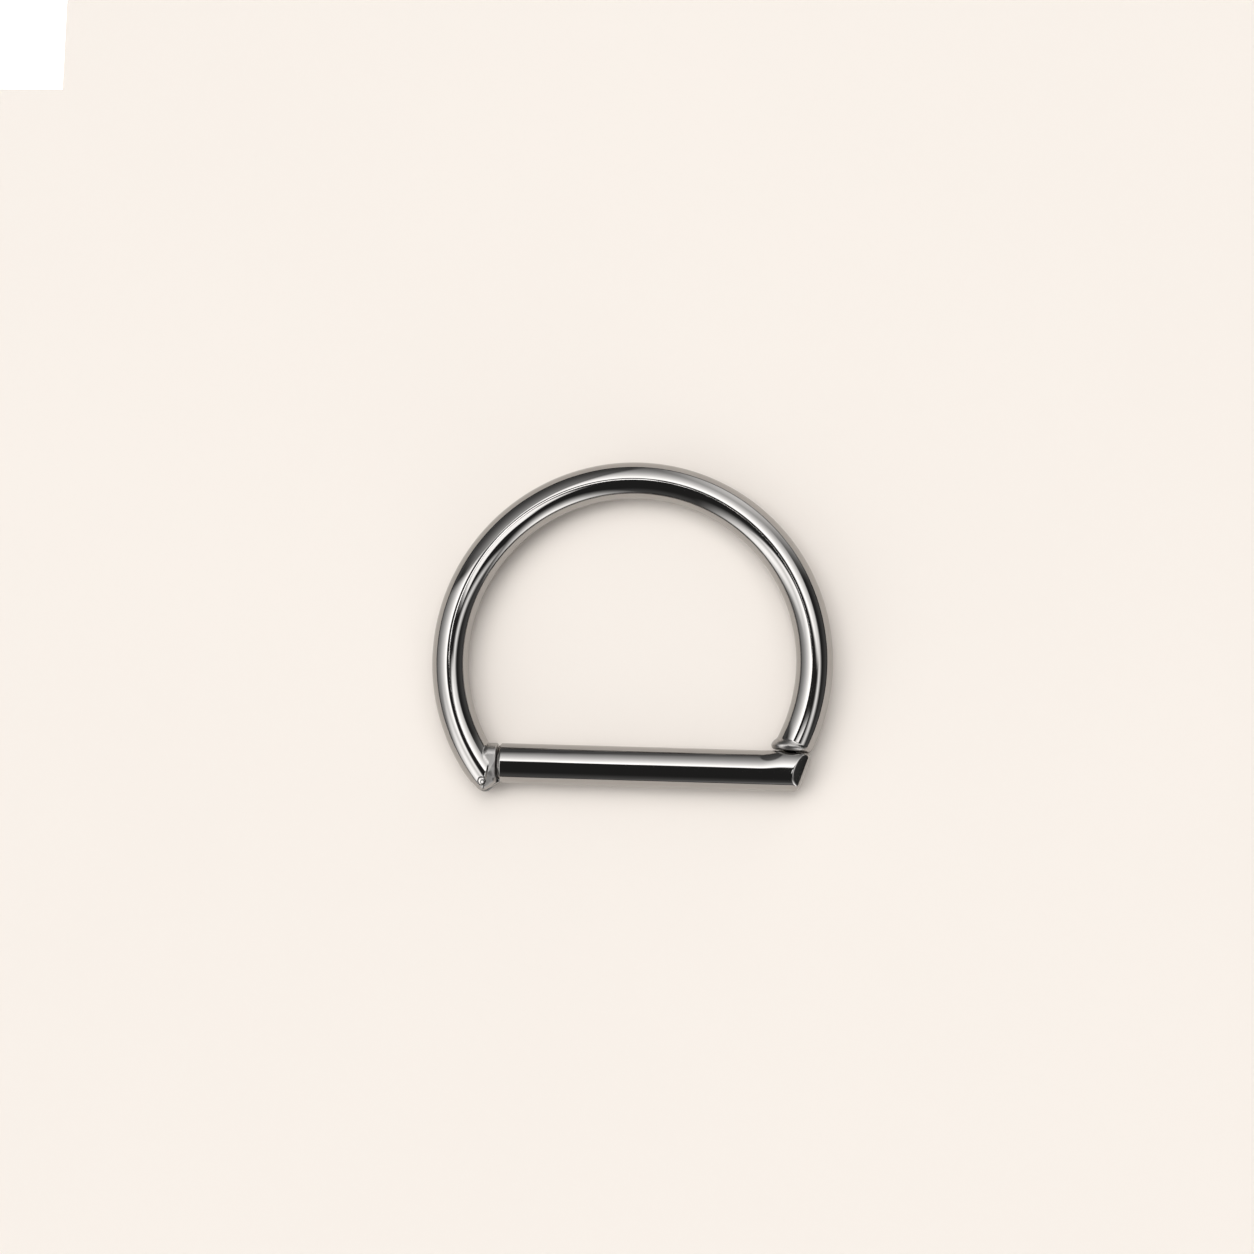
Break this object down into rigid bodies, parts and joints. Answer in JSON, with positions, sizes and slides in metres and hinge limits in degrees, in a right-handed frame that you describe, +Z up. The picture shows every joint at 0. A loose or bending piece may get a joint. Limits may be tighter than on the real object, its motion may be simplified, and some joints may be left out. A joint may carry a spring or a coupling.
{
  "type": "hinged segment ring",
  "caption": "Hinged segment ring for a piercing: polished round wire bent to most of a circle, closed by a straight round bar that swings open on a tiny pin.",
  "frame": {"origin": "centre of the ring's box, on the surface that it lies on", "axes": "+X along the straight bar from the hinge to the closure, +Y from the bar towards the top of the curve, +Z up, square to the plane of the ring"},
  "size_m": [0.0122, 0.0102, 0.0012],
  "materials": {
    "polished_steel": "mirror-polished stainless steel",
    "pin_steel": "peened steel pin end"
  },
  "bodies": {
    "ring": {"ring_arc": "polished_steel", "hinge_pin": "pin_steel"},
    "segment": {"segment_bar": "polished_steel"}
  },
  "joints": [
    {"name": "segment_hinge", "type": "hinge", "parent": "ring", "child": "segment", "pos_m": [-0.00439, -0.00481, 0.00061], "axis": [0, 0, -1], "range_deg": [0, 80]}
  ]
}
